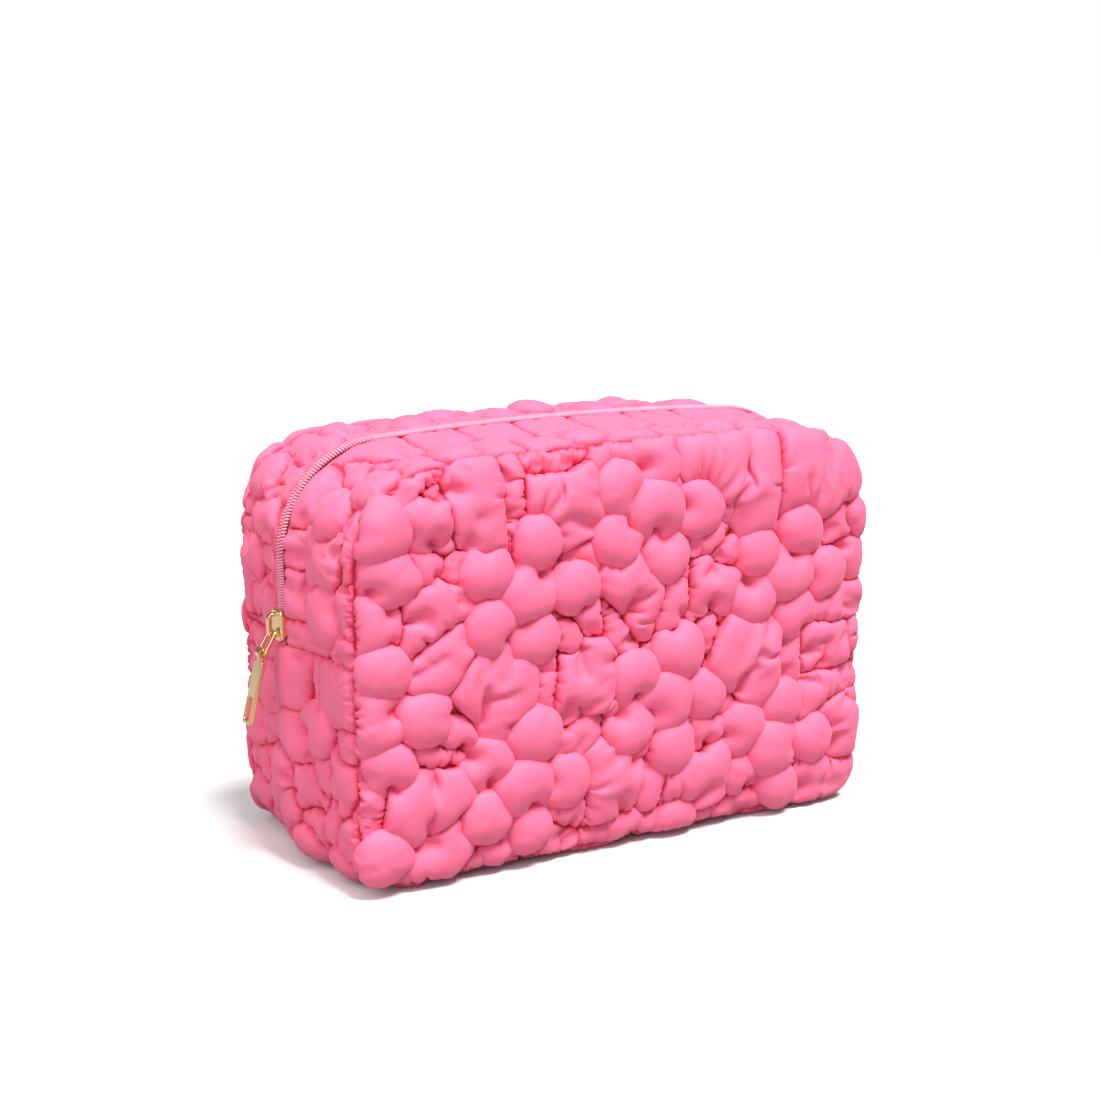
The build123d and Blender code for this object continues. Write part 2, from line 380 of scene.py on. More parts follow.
def filler_leaves(flowers, bubbles, low, high, rng):
    """Leaf cells on a jittered grid wherever the flowers and single bubbles leave room, each one
    pointing at its nearest flower or bubble."""
    taken = [(x, y, RING + PETAL_RADIUS) for x, y in flowers] + list(bubbles)
    leaves = []
    for x in np.arange(low[0] - LEAF_PITCH, high[0] + LEAF_PITCH, LEAF_PITCH):
        for y in np.arange(low[1] - LEAF_PITCH, high[1] + LEAF_PITCH, LEAF_PITCH):
            px = x + rng.uniform(-LEAF_JITTER, LEAF_JITTER)
            py = y + rng.uniform(-LEAF_JITTER, LEAF_JITTER)
            gap, turn = min(
                (math.hypot(px - a, py - b) - r, math.atan2(py - b, px - a)) for a, b, r in taken
            )
            if gap > -LEAF_INTRUSION:
                long, short = rng.uniform(*LEAF_LONG), rng.uniform(*LEAF_SHORT)
                leaves.append((px, py, long, short, math.degrees(turn)))
    return leaves


def pattern_cells(flowers, bubbles, leaves, rng):
    """The cells: each one's middle, (half length, half width, turn), kind, and creases' direction."""
    cells = []
    for x, y in flowers:
        toward = rng.uniform(0, 2 * math.pi)
        cells.append(((x, y), (HEART_RADIUS, HEART_RADIUS, 0.0), HEART, toward))
        for turn in PETAL_TURNS:
            angle = math.radians(turn + rng.normal(0, TURN_SPREAD))
            reach = RING + rng.normal(0, RING_SPREAD)
            middle = (x + reach * math.cos(angle), y + reach * math.sin(angle))
            size = PETAL_RADIUS + rng.normal(0, PETAL_SPREAD)
            axes = (size, size * rng.uniform(*PETAL_WIDTHS), rng.uniform(0, PETAL_TWIST))
            cells.append((middle, axes, PETAL, angle + math.pi))
    for x, y, radius in bubbles:
        toward = rng.uniform(0, 2 * math.pi)
        cells.append(((x, y), (radius, radius, 0.0), PETAL, toward))
    for x, y, long, short, turn in leaves:
        cells.append(((x, y), (long, short, math.radians(turn)), LEAF, math.radians(turn)))
    return cells


def claim(flat, middle, axes, kind):
    """How weakly a cell claims each point, and that value's slope. The lowest value has the point."""
    long, short, turn = axes
    along = np.array([math.cos(turn), math.sin(turn)])
    across = np.array([-along[1], along[0]])
    away = flat - np.array(middle)
    a, b = away @ along / long, away @ across / short
    score = np.sqrt(a * a + b * b) + 1e-6
    slope = (a / score / long)[..., None] * along + (b / score / short)[..., None] * across
    if kind == LEAF:
        return 1 + LEAF_SHARE * score, LEAF_SHARE * slope
    steep = np.where(score > 1, PETAL_EDGE, 1.0)
    return 1 + (score - 1) * steep, slope * steep[..., None]


def quilt_cells(flat, flowers, bubbles, leaves, rng):
    """The stitched pattern over a grid of flat places: each point's cell, how far it is from the
    nearest stitch line and in which direction, and where the cloth is creased."""
    cells = pattern_cells(flowers, bubbles, leaves, rng)
    claims = [claim(flat, middle, axes, kind) for middle, axes, kind, _ in cells]
    scores = np.stack([score for score, _ in claims], -1)
    slopes = np.stack([slope for _, slope in claims], -2)
    order = np.argsort(scores, -1)
    first, second = order[..., 0], order[..., 1]

    def pick(values, k):
        return np.take_along_axis(values, k[..., None], -1)[..., 0]

    gap = pick(scores, second) - pick(scores, first)
    slope = np.take_along_axis(slopes, second[..., None, None], -2)[..., 0, :]
    slope = slope - np.take_along_axis(slopes, first[..., None, None], -2)[..., 0, :]
    steep = np.maximum(np.linalg.norm(slope, axis=-1), 1e-3)
    crease, crease_slope = creases(flat, first, cells, rng)
    kinds = np.array([kind for _, _, kind, _ in cells])
    fullness = 1 + LEAF_VARIETY * rng.uniform(-1, 1, len(kinds)) * (kinds == LEAF)
    return {
        "cell": first,
        "fullness": fullness[first],
        "kind": kinds[first],
        "beside": kinds[second],
        "margin": gap / steep,
        "toward": -slope / steep[..., None],
        "crease": crease,
        "crease_slope": crease_slope,
    }


def creases(flat, cell, cells, rng):
    """How firmly each point is held down by a crease of its cell, and how fast the crease may rise.
    A crease runs from the stitch line towards the middle, along a leaf or from a petal's inner side."""
    hold, slope = np.zeros(cell.shape), np.ones(cell.shape)
    for k, (middle, _, kind, toward) in enumerate(cells):
        counts, sway, begins, rises = LEAF_CREASES if kind == LEAF else PETAL_CREASES
        for c in range(rng.integers(*counts)):
            angle = toward + c * math.pi + rng.normal(0, sway)
            bend = rng.uniform(-CREASE_BEND, CREASE_BEND)
            inner = rng.uniform(*begins)
            rise = rng.uniform(*rises)
            away = flat - np.array(middle)
            along = away @ np.array([math.cos(angle), math.sin(angle)])
            across = away @ np.array([-math.sin(angle), math.cos(angle)])
            across = across - bend * along**2 / CREASE_BEND_LENGTH
            held = np.exp(-((across / CREASE_WIDTH) ** 2)) * smooth((along - inner) / CREASE_FADE)
            held = held * (cell == k)
            slope = np.where(held > hold, rise, slope)
            hold = np.maximum(hold, held)
    return hold, slope


def edge_margin(shape, step_u, step_v):
    """Distance of each grid point from the grid's edge, for a grid with these spacings."""
    i, j = np.arange(shape[0]), np.arange(shape[1])
    return np.minimum(
        np.minimum(i, shape[0] - 1 - i)[:, None] * step_u,
        np.minimum(j, shape[1] - 1 - j)[None, :] * step_v,
    )


# ---- blowing up the cloth

def links():
    """Pairs of slices that join neighbours of a grid, in sets that share no point: first along the
    grid's two directions, then along its diagonals, with how stiff they are."""
    for s in (0, 1):
        yield (slice(s, -1, 2), slice(None)), (slice(s + 1, None, 2), slice(None)), 1.0
    for s in (0, 1):
        yield (slice(None), slice(s, -1, 2)), (slice(None), slice(s + 1, None, 2)), 1.0
    for s in (0, 1):
        yield (slice(s, -1, 2), slice(None, -1)), (slice(s + 1, None, 2), slice(1, None)), DIAGONAL
    for s in (0, 1):
        yield (slice(s, -1, 2), slice(1, None)), (slice(s + 1, None, 2), slice(None, -1)), DIAGONAL


def cloth_links(base, spare, free):
    """Each set of links: its ends, its lengths with the spare, and each end's share of a correction."""
    made = []
    for a, b, stiff in links():
        length = np.sqrt(((base[:, a[0], a[1]] - base[:, b[0], b[1]]) ** 2).sum(0))
        length = length * (1 + (spare[a] + spare[b]) / 2)
        total = np.maximum(free[a] + free[b], 1e-6)
        made.append((
            (slice(None), *a), (slice(None), *b), length.astype(np.float32),
            (stiff * free[a] / total).astype(np.float32), (stiff * free[b] / total).astype(np.float32),
        ))
    return made


def normals_first(p):
    """Unit normals of a grid of points whose first axis is x, y, z."""
    u = np.empty_like(p)
    v = np.empty_like(p)
    u[:, 1:-1] = p[:, 2:] - p[:, :-2]
    u[:, 0], u[:, -1] = p[:, 1] - p[:, 0], p[:, -1] - p[:, -2]
    v[:, :, 1:-1] = p[:, :, 2:] - p[:, :, :-2]
    v[:, :, 0], v[:, :, -1] = p[:, :, 1] - p[:, :, 0], p[:, :, -1] - p[:, :, -2]
    n = np.stack([u[1] * v[2] - u[2] * v[1], u[2] * v[0] - u[0] * v[2], u[0] * v[1] - u[1] * v[0]])
    return n / np.maximum(np.sqrt((n * n).sum(0)), 1e-9)


def laplacian(p):
    """How far each point's neighbours lie to one side of it, as a sum."""
    out = np.zeros_like(p)
    out[:, 1:-1] += p[:, 2:] + p[:, :-2] - 2 * p[:, 1:-1]
    out[:, :, 1:-1] += p[:, :, 2:] + p[:, :, :-2] - 2 * p[:, :, 1:-1]
    return out


def blow_up(base, normal, toward, pattern, border, loft, rng):
    """Cloth with spare length over a base grid, blown up and held along the stitch lines. Petals may
    hang over leaves; the cloth keeps above the base and off the floor. loft scales how far each point
    rises."""
    base = np.moveaxis(base, -1, 0).astype(np.float32)
    normal = np.moveaxis(normal, -1, 0).astype(np.float32)
    toward = np.moveaxis(toward, -1, 0).astype(np.float32)
    kind, beside = pattern["kind"], pattern["beside"]
    margin = pattern["margin"].astype(np.float32)
    held = (margin <= 0) | (border <= 0)
    free = (~held).astype(np.float32)
    rise = RISE[kind] * loft
    reach = np.minimum(margin, border)
    start = rise * np.sqrt(1 - (1 - np.clip(reach / rise, 0, 1)) ** 2)
    swells = SWELLS * gentle_noise(start.shape, rng, scale=3)
    start *= 1 + swells + GRAIN * rng.standard_normal(start.shape)
    p = base + normal * (start * free).astype(np.float32)
    top = (TOP[kind] * pattern["fullness"] * loft).astype(np.float32)
    joined = cloth_links(base, SPARE[kind] * loft**SPARE_POWER, free)
    # 1 where a petal may hang over its stitch line, and -1 where a leaf keeps clear of it
    over = np.sign(kind - beside).astype(np.float32)
    soft = BENDING * np.clip((reach - SOFT_EDGE) / SOFT_WIDTH, SOFT_LEAST, 1) * free
    soft = soft.astype(np.float32)
    hold = np.minimum(CREASE_HOLD * pattern["crease"], 1).astype(np.float32)
    low_line = (pattern["crease_slope"] * reach).astype(np.float32)
    for _ in range(ROUNDS):
        h = ((p - base) * normal).sum(0)
        push = PRESSURE[kind] * np.clip(1 - h / top, 0, 1) * free
        p += normals_first(p) * push
        for _ in range(2):
            for a, b, length, share_a, share_b in joined:
                pa, pb = p[a], p[b]
                d = pb - pa
                now = np.sqrt((d * d).sum(0)) + 1e-6
                d *= (now - length) / now
                pa += share_a * d
                pb -= share_b * d
        p -= soft * laplacian(laplacian(p))
        away = p - base
        h = (away * normal).sum(0)
        aside = away - h * normal
        h = np.clip(h, CLEARANCE, HIGHEST * top)
        h -= hold * np.maximum(h - low_line, 0)
        gone = (aside * toward).sum(0)
        most = margin + over * np.minimum(OVERHANG * loft, OVERHANG_SHARE * h) - CLEARANCE
        aside -= np.maximum(gone - most, 0) * toward
        length = np.sqrt((aside * aside).sum(0)) + 1e-6
        aside *= np.minimum(1, (np.minimum(margin, WANDER_WIDTH) + WANDER * loft) / length)
        p = base + (aside + h * normal) * free
        p[2] = np.maximum(p[2], CLEARANCE)
        p[:, held] = base[:, held]
    return np.moveaxis(p, 0, -1).astype(float)


# ---- meshes

def grid_object(name, *grids, closed=False):
    """A smooth mesh object of grids of points in millimetres. closed joins each grid's second
    direction round."""
    points, faces, count = [], [], 0
    for p in grids:
        index = count + np.arange(p.shape[0] * p.shape[1]).reshape(p.shape[:2])
        if closed:
            index = np.concatenate([index, index[:, :1]], 1)
        quads = np.stack([index[:-1, :-1], index[1:, :-1], index[1:, 1:], index[:-1, 1:]], -1)
        points.append(p.reshape(-1, 3))
        faces.append(quads.reshape(-1, 4))
        count += p.shape[0] * p.shape[1]
    points, faces = np.concatenate(points), np.concatenate(faces)
    mesh = bpy.data.meshes.new(name)
    mesh.from_pydata((points * MM).tolist(), [], faces.tolist(), shade_flat=False)
    thing = bpy.data.objects.new(name, mesh)
    bpy.context.scene.collection.objects.link(thing)
    return thing


def with_hem(p, base_normal):
    """The grid with one more row all round, turned in under the cloth."""
    wide = np.pad(p, ((1, 1), (1, 1), (0, 0)), mode="edge")
    turn = np.pad(base_normal, ((1, 1), (1, 1), (0, 0)), mode="edge") * HEM
    rim = np.ones(wide.shape[:2], bool)
    rim[1:-1, 1:-1] = False
    wide[rim] -= turn[rim]
    return wide


def flat_area(flat):
    """The area of one square of a grid of flat places."""
    u, v = flat[1, 0] - flat[0, 0], flat[0, 1] - flat[0, 0]
    return abs(u[0] * v[1] - u[1] * v[0])


def wrinkles(flat, pattern, border, rng):
    """Heights of the small wrinkles that run in from the stitch lines, in millimetres. They fan out
    about each cell's middle."""
    cell = pattern["cell"]
    count = np.maximum(np.bincount(cell.ravel()), 1)
    middle = [np.bincount(cell.ravel(), flat[..., k].ravel()) / count for k in (0, 1)]
    away = flat - np.stack([m[cell] for m in middle], -1)
    angle = np.arctan2(away[..., 1], away[..., 0])
    size = np.sqrt(count * flat_area(flat) / math.pi)[cell]
    reach = np.minimum(pattern["margin"], border)
    height = 0
    for width, share in WRINKLES:
        folds = np.maximum(np.round(2 * math.pi * size / width), FEWEST_FOLDS)
        phase = rng.uniform(0, 2 * math.pi, len(count))[cell]
        sway = WRINKLE_SWAY * gentle_noise(reach.shape, rng, scale=9)
        ridge = np.abs(np.sin((folds * angle + phase + sway) / 2)) ** WRINKLE_POWER
        height = height + share * (2 * ridge - WRINKLE_LEVEL)
    depth = WRINKLE_DEPTH[pattern["kind"]]
    length = WRINKLE_LENGTH[pattern["kind"]]
    mean, spread = PATCHES
    patchy = np.clip(mean + spread * gentle_noise(reach.shape, rng, scale=11), *PATCH_LIMITS)
    return height * depth * patchy * smooth(reach / WRINKLE_START) * np.exp(-reach / length)


def quilt(name, flat, surface, steps, cells, seed, loft=1.0):
    """A quilted wall's mesh object, over a grid of flat places with these two spacings. surface turns
    flat places into points, and cells are its flowers, single bubbles and leaves."""
    normal = grid_normals(surface(flat))
    rng = np.random.default_rng(seed)
    pattern = quilt_cells(flat, *cells, rng)
    step = max(steps)
    border = edge_margin(flat.shape[:2], *steps)
    near = (pattern["margin"] < 0.5 * step) & (border > 0)
    shift = pattern["margin"][..., None] * pattern["toward"]
    flat = flat + np.where(near[..., None], np.clip(shift, -step, step), 0)
    pattern["margin"] = np.where(near, 0, pattern["margin"])
    base = surface(flat)
    toward = unit(surface(flat + NUDGE * pattern["toward"]) - base)
    loft = np.broadcast_to(loft, border.shape).astype(np.float32)
    cloth = blow_up(base, normal, toward, pattern, border, loft, rng)
    puckers = wrinkles(flat, pattern, border, rng) * np.sqrt(loft)
    cloth = cloth + grid_normals(cloth) * puckers[..., None]
    cloth[..., 2] = np.maximum(cloth[..., 2], CLEARANCE)
    rows, columns = (int(n * s / FINE) for n, s in zip(flat.shape[:2], steps))
    fine = finer(cloth, rows, columns)
    thing = grid_object(name, with_hem(fine, finer(normal, rows, columns)))
    # Valleys and the cloth under a petal's rim count as nearer the stitching, so that they get more
    # painted shade and look deeper
    under = UNDER_PETAL * (pattern["kind"] < pattern["beside"])
    shade = np.maximum(np.minimum(pattern["margin"] - under, border) + VALLEY_SHADE * puckers, 0)
    shade = np.pad(finer(shade[..., None], rows, columns)[..., 0], 1)
    # The nylon reads this to paint shade near the stitching
    layer = thing.data.attributes.new("shade_from_stitching", "FLOAT", "POINT")
    layer.data.foreach_set("value", shade.astype(np.float32).ravel())
    return thing


# ---- the quilted walls

# The panels' flowers and leaves: x, z, and a leaf's half length, half width and turn in degrees
PANEL_FLOWERS = [
    (-106, 138), (-109, 68), (-109, -4), (-47, 109), (-49, 35), (10, 134), (15, 59), (20, -13),
    (74, 103), (68, 31), (131, 133), (132, 61), (132, -11),
]
PANEL_LEAVES = [
    (-83, 107, 19, 10, 25), (-79, 90, 14, 9, 50), (-62, 78, 17, 13, 75), (-104, 103, 9, 8, 90),
    (-88, 121, 9, 5, 20), (-76, 120, 7, 6, 0), (-84, 141, 14, 6, 105), (-67, 144, 17, 11, 95),
    (-51, 144, 15, 5, 95), (-30, 138, 19, 13, 165), (-35, 156, 10, 5, 0), (-22, 121, 8, 5, 20),
    (-1, 105, 14, 9, 70), (20, 98, 12, 5, 85), (36, 98, 14, 9, 70), (36, 121, 9, 5, 10),
    (44, 114, 7, 5, 20), (51, 141, 17, 14, 90), (87, 138, 17, 14, 70), (101, 120, 8, 6, 0),
    (103, 103, 8, 7, 90), (100, 88, 10, 8, 0), (98, 69, 13, 9, 0), (96, 53, 13, 6, 10),
    (76, 68, 9, 5, 95), (54, 72, 17, 12, 80), (34, 86, 12, 5, 70), (-22, 98, 12, 6, 130),
    (-28, 90, 8, 5, 100), (-8, 91, 10, 5, 110), (-22, 70, 17, 14, 80), (-38, 74, 13, 4.5, 90),
    (-24, 52, 12, 6, 35), (-8, 30, 16, 12, 80), (-27, 24, 9, 6, 90), (8, 24, 10, 5, 80),
    (36, 44, 9, 7, 60), (44, 52, 6, 5, 0), (40, 24, 17, 12, 30), (-78, 60, 10, 7, 120),
    (-84, 51, 11, 4.5, 0), (-89, 36, 14, 13, 90), (-112, 38, 10, 6, 90), (-79, 17, 16, 8, 30),
    (-60, 7, 12, 6, 10), (-36, 8, 10, 6, 0), (-5, 9, 13, 6, 10), (46, 6, 14, 6, 0),
    (92, 12, 13, 7, 10), (103, 34, 11, 8, 90), (-90, 152, 10, 5, 30),
]

# The gussets' cells, by place along and place across. The zip gusset's lie along from the top's
# middle, the bottom gusset's from the base's middle. A single bubble has a radius.
FRONT_ZIP_BUBBLES = [
    (-152, -30, 10), (-115, -27, 9.5), (-101, -39, 9.5), (-68, -39, 9.5), (-14, -39, 9),
    (45, -39, 9.5), (64, -40, 9), (96, -24, 9), (110, -36, 9.5), (128, -18, 9), (150, -32, 10),
]
FRONT_ZIP_LEAVES = [
    (-130, -27, 17, 11, 100), (-128, -44, 11, 4, 0), (-150, -13, 11, 8, 20), (-163, -14, 8, 9, 90),
    (-145, -45, 9, 5, 10), (-164, -36, 10, 7, 90), (-112, -12, 10, 7, 0), (-97, -20, 10, 6, 60),
    (-92, -29, 6, 6, 0), (-52, -34, 13, 10, 95), (-60, -16, 12, 11, 90), (-84, -37, 6, 12, 90),
    (-84, -14, 12, 11, 90), (-36, -14, 12, 11, 100), (-12, -16, 12, 12, 90), (14, -17, 13, 12, 85),
    (38, -16, 12, 11, 95), (62, -17, 13, 11, 90), (-32, -38, 10, 9, 90), (8, -40, 10, 8, 80),
    (26, -41, 8, 8, 90), (82, -40, 10, 9, 90),
]
REAR_ZIP_BUBBLES = [
    (-150, -28, 10), (-128, -38, 9), (-112, -18, 8.5), (-92, -36, 9.5), (-70, -20, 9),
    (-52, -38, 9), (-30, -22, 9), (-8, -36, 9.5), (14, -20, 8.5), (34, -38, 9), (54, -22, 9),
    (76, -36, 9.5), (94, -20, 9), (110, -38, 9.5), (126, -20, 8.5), (142, -36, 9.5), (158, -18, 8),
]
# Each side of the zip: its bubbles, its leaves, its upright ends' loft and its seed
ZIP_SIDES = (
    ("front", FRONT_ZIP_BUBBLES, FRONT_ZIP_LEAVES, 1.6, 7), ("rear", REAR_ZIP_BUBBLES, [], 1.0, 17),
)
BOTTOM_SEED = 11
BOTTOM_LINING_SEED = 23
BOTTOM_BUBBLES = [
    (-162, -21, 10.5), (-168, 22, 9.5), (-140, 4, 9), (-150, 38, 9), (162, -22, 10), (166, 24, 9.5),
    (142, 2, 9), (148, -40, 9),
]
BOTTOM_FLOWERS = [(-95, -20), (-60, 24), (-20, -22), (22, 22), (62, -24), (98, 22)]
BOTTOM_LEAVES = [
    (-182, -36, 13, 11, 0), (-184, -6, 11, 9, 90), (-181, -19, 9, 4, 0), (-160, -41, 6, 6, 90),
    (-143, -38, 14, 9, 0), (-144, -23, 12, 7, 0), (-152, -6, 11, 7, 90),
]
BOTTOM_PLACED = (-140, 6)  # fillers lie beyond this, along or across
PLACED_GAP = 8.0  # from the last of the zip gusset's leaves to the first filler
FILLER_SEED = 100


def panel_quilt(name, seed):
    """A panel's quilting."""
    rows = int(2 * HALF / SPACING)
    columns = int((SHOULDER + CROWN - SEAM_LOW) / SPACING)
    flat, dome = panel_grid(rows, columns)

    def surface(at):
        return np.stack([at[..., 0], -SEAM_DEPTH - PANEL_BULGE * dome, at[..., 1]], -1)

    return quilt(name, flat, surface, (SPACING, SPACING), (PANEL_FLOWERS, [], PANEL_LEAVES), seed)


def band_grid(length, low, high):
    """Flat places of a band, from -length to length along and from low to high across, and their
    spacings along and across."""
    rows = int(2 * length / SPACING)
    columns = int(abs(high - low) / SPACING) + 1
    along, across = np.linspace(-length, length, rows), np.linspace(low, high, columns)
    flat = np.stack(np.meshgrid(along, across, indexing="ij"), -1)
    return flat, (2 * length / (rows - 1), abs(high - low) / (columns - 1))


def zip_quilt(name, bubbles, leaves, end_loft, seed):
    """The zip gusset's quilting on one side. It lies low beside the zip, and its upright ends stand
    end_loft times as high as its top. It has the leaves given, and others right of them."""
    flat, steps = band_grid(ZIP_REACH, -SEAM_DEPTH, -ZIP_COVER)
    filler_rng = np.random.default_rng(seed + FILLER_SEED)
    others = filler_leaves([], bubbles, flat[0, 0], flat[-1, -1], filler_rng)
    placed_to = max((leaf[0] for leaf in leaves), default=-math.inf) + PLACED_GAP
    leaves = leaves + [leaf for leaf in others if leaf[0] > placed_to]
    upright = smooth((np.abs(flat[..., 0]) - ENDS_FROM) / ENDS_WIDTH)
    at_zip = LOFT_AT_ZIP + LOFT_AT_ZIP * upright
    loft = ZIP_LOFT * (at_zip + (1 - at_zip) * smooth((-ZIP_COVER - flat[..., 1]) / ZIP_SLOPE))
    loft = loft * (1 + (end_loft - 1) * upright)

    def surface(at):
        return gusset_surface(at[..., 0], at[..., 1])

    return quilt(name, flat, surface, steps, ([], bubbles, leaves), seed, loft)


def bottom_quilt(name, seed):
    """The bottom gusset's quilting, from the left cross seam under the base to the right one."""
    flat, steps = band_grid(CROSS_ARC, SEAM_DEPTH, -SEAM_DEPTH)
    filler_rng = np.random.default_rng(seed + FILLER_SEED)
    low, high = (-CROSS_ARC, -SEAM_DEPTH), (CROSS_ARC, SEAM_DEPTH)
    others = filler_leaves(BOTTOM_FLOWERS, BOTTOM_BUBBLES, low, high, filler_rng)
    placed_along, placed_across = BOTTOM_PLACED
    others = [leaf for leaf in others if leaf[0] > placed_along or leaf[1] > placed_across]
    cells = (BOTTOM_FLOWERS, BOTTOM_BUBBLES, BOTTOM_LEAVES + others)

    def surface(at):
        return gusset_surface(from_top(at[..., 0]), at[..., 1])

    return quilt(name, flat, surface, steps, cells, seed, BOTTOM_LOFT)


def across_fold(piece):
    """Bakes a piece's placement into its mesh."""
    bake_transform(piece)


# ---- linings, bindings and the zip

def around(along, side, top, bottom, y):
    """Points on the outline let out by these amounts, at places along from the top's middle."""
    x, z = outline(from_top(along), side, top, bottom)
    return np.stack([x, np.full_like(x, y), z], -1)


def panel_lining(name, rng):
    """A panel's flat lining, a little slack in the middle."""
    flat, dome = panel_grid(*LINING_GRID)
    share = (HALF - SKIN) / HALF
    x, z = flat[..., 0] * share, LINING_LOW + (flat[..., 1] - SEAM_LOW) * LINING_RISE
    slack = PANEL_SLACK * gentle_noise(dome.shape, rng, scale=9) * dome
    return grid_object(name, np.stack([x, -SEAM_DEPTH + LINING_INSET + slack, z], -1))


def along_band(reach):
    """Places along a band, about two millimetres apart."""
    return np.linspace(-reach, reach, int(reach))


def band_lining(name, along, low, high, rng):
    """A gusset's lining, at these places along from the top's middle."""
    across = np.linspace(low, high, BAND_COLUMNS)
    inset = BAND_SLACK * gentle_noise((len(along), len(across)), rng, scale=7)
    outer, inner = (
        np.stack([around(along, out, out, out, y) for y in across], 1)
        for out in (-SKIN, -SKIN - LINING_THICK)
    )
    return grid_object(name, outer + (inner - outer) * (0.5 + inset[..., None]))


def seam_binding(name):
    """Bias tape folded over the panel seam, puckered where it is stitched."""
    along = np.linspace(-HALF_ROUND, HALF_ROUND, SEAM_POINTS)
    pucker = SEAM_PUCKER * np.sin(2 * math.pi * along / PUCKER)
    shift = np.stack([0 * along, pucker, 0 * along], -1)
    rows = [around(along, out, out, out, y) + shift for out, y in SEAM_BINDING]
    return grid_object(name, np.stack(rows, 1))


def cross_bindings(name):
    """The two bindings across the bag, where the zip gusset meets the bottom gusset."""
    y = np.linspace(-LINING_HALF, LINING_HALF, CROSS_POINTS)
    pucker = CROSS_PUCKER * np.sin(2 * math.pi * y / PUCKER)
    grids = []
    for side in (-1, 1):
        rows = [np.stack([side * x + 0 * y, y, CROSS_SEAM + z + pucker], -1) for x, z in CROSS_BINDING]
        grids.append(np.stack(rows, 1))
    return grid_object(name, *grids)


def zip_tape(name):
    """The zip's tape, thin and flat, with its outer edge sloping down under the quilting."""
    along = np.linspace(-ZIP_REACH, ZIP_REACH, TAPE_POINTS)
    sides = [
        around(along, SIDE_BULGE + out, TOP_BULGE + out, TOP_BULGE + out, y) for out, y in TAPE_PROFILE
    ]
    return grid_object(name, np.stack(sides, 1), closed=True)


def zip_coil(name):
    """One side of the zip's coil: a wound wire, whose inner turns reach to the zip's middle."""
    turns = round(2 * ZIP_REACH / COIL_PITCH)
    angle = np.linspace(0, 2 * math.pi * turns, TURN_POINTS * turns + 1)
    along = -ZIP_REACH + COIL_PITCH * angle / (2 * math.pi)
    low = around(along, SIDE_BULGE, TOP_BULGE, TOP_BULGE, 0)
    high_side, high_top = SIDE_BULGE + COIL_HEIGHT, TOP_BULGE + COIL_HEIGHT
    high = around(along, high_side, high_top, high_top, 0)
    lift = 0.5 + COIL_SWING * np.sin(angle)
    line = low + (high - low) * lift[:, None]
    line[:, 1] = COIL_MIDDLE + COIL_REACH * np.cos(angle)
    forward = unit(np.gradient(low, axis=0))
    tangent = unit(np.gradient(line, axis=0))
    side = unit(np.cross(tangent, forward))
    other = np.cross(tangent, side)
    ring = np.linspace(0, 2 * math.pi, WIRE_SIDES, endpoint=False)[None, :, None]
    tube = line[:, None] + WIRE * (np.cos(ring) * side[:, None] + np.sin(ring) * other[:, None])
    return grid_object(name, tube, closed=True)


# ---- materials

WAVES_PER_MM = 314  # a wave texture's scale for one wave to the millimetre
WEAVE_SWAY = 0.4
CREASE_SHADE = 3.4  # from the stitching to where the painted shade in the creases ends and the nylon has its full colour, in millimetres
CRINKLE_FADE = 3.5  # and to where its crinkles are weakest


